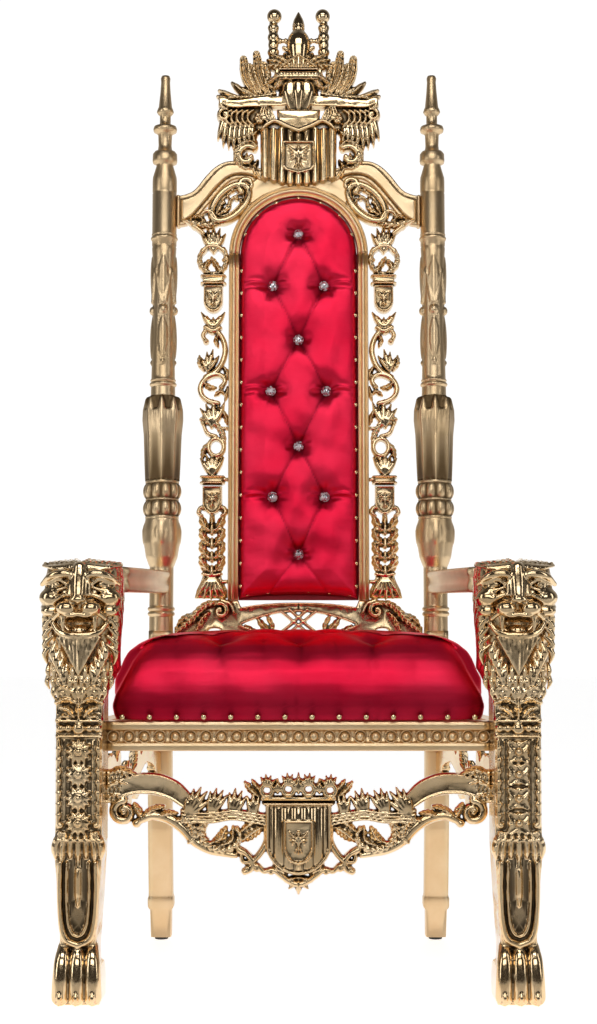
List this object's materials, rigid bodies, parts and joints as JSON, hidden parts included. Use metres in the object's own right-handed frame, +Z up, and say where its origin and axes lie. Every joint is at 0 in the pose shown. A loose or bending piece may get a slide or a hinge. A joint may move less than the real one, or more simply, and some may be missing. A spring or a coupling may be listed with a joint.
{
  "type": "throne",
  "caption": "Tall carved and gilded wooden throne with lion-head arms, paw feet, turned back posts, pierced crest and borders, and tufted red satin upholstery.",
  "frame": {"origin": "on the floor, under the middle of the throne's outer box", "axes": "+Z up, -Y the way the seat faces, +X to the right of someone looking at the front"},
  "size_m": [0.8616, 0.6642, 1.8638],
  "materials": {
    "bright_gold": "carved hardwood under polished gold leaf, dark patina in the hollows",
    "satin_gold": "plain hardwood under satin gold leaf",
    "red_satin": "bright crimson satin over foam, tufted and nailed",
    "red_backing": "board covered with red cloth behind",
    "crystal": "clear faceted crystal",
    "glide_black": "matt black nylon"
  },
  "bodies": {
    "root": {"lion_leg_left": "bright_gold", "lion_leg_right": "bright_gold", "rear_post_left": "bright_gold", "rear_post_right": "bright_gold", "seat_rail_front": "satin_gold", "seat_rail_back": "satin_gold", "seat_rail_left": "satin_gold", "seat_rail_right": "satin_gold", "apron_front": "bright_gold", "apron_side_left": "bright_gold", "apron_side_right": "bright_gold", "arm_rail_left": "satin_gold", "arm_rail_right": "satin_gold", "back_stile_left": "satin_gold", "back_stile_right": "satin_gold", "crest_rail": "satin_gold", "crest_carving": "bright_gold", "back_border_left": "bright_gold", "back_border_right": "bright_gold", "lower_back_rail": "bright_gold", "back_panel": "red_backing", "back_cushion": "red_satin", "seat_cushion": "red_satin", "back_button_1": "crystal", "back_button_2": "crystal", "back_button_3": "crystal", "back_button_4": "crystal", "back_button_5": "crystal", "back_button_6": "crystal", "back_button_7": "crystal", "back_button_8": "crystal", "back_button_9": "crystal", "back_button_10": "crystal", "glide_front_left": "glide_black", "glide_front_right": "glide_black", "glide_rear_left": "glide_black", "glide_rear_right": "glide_black"}
  },
  "joints": []
}
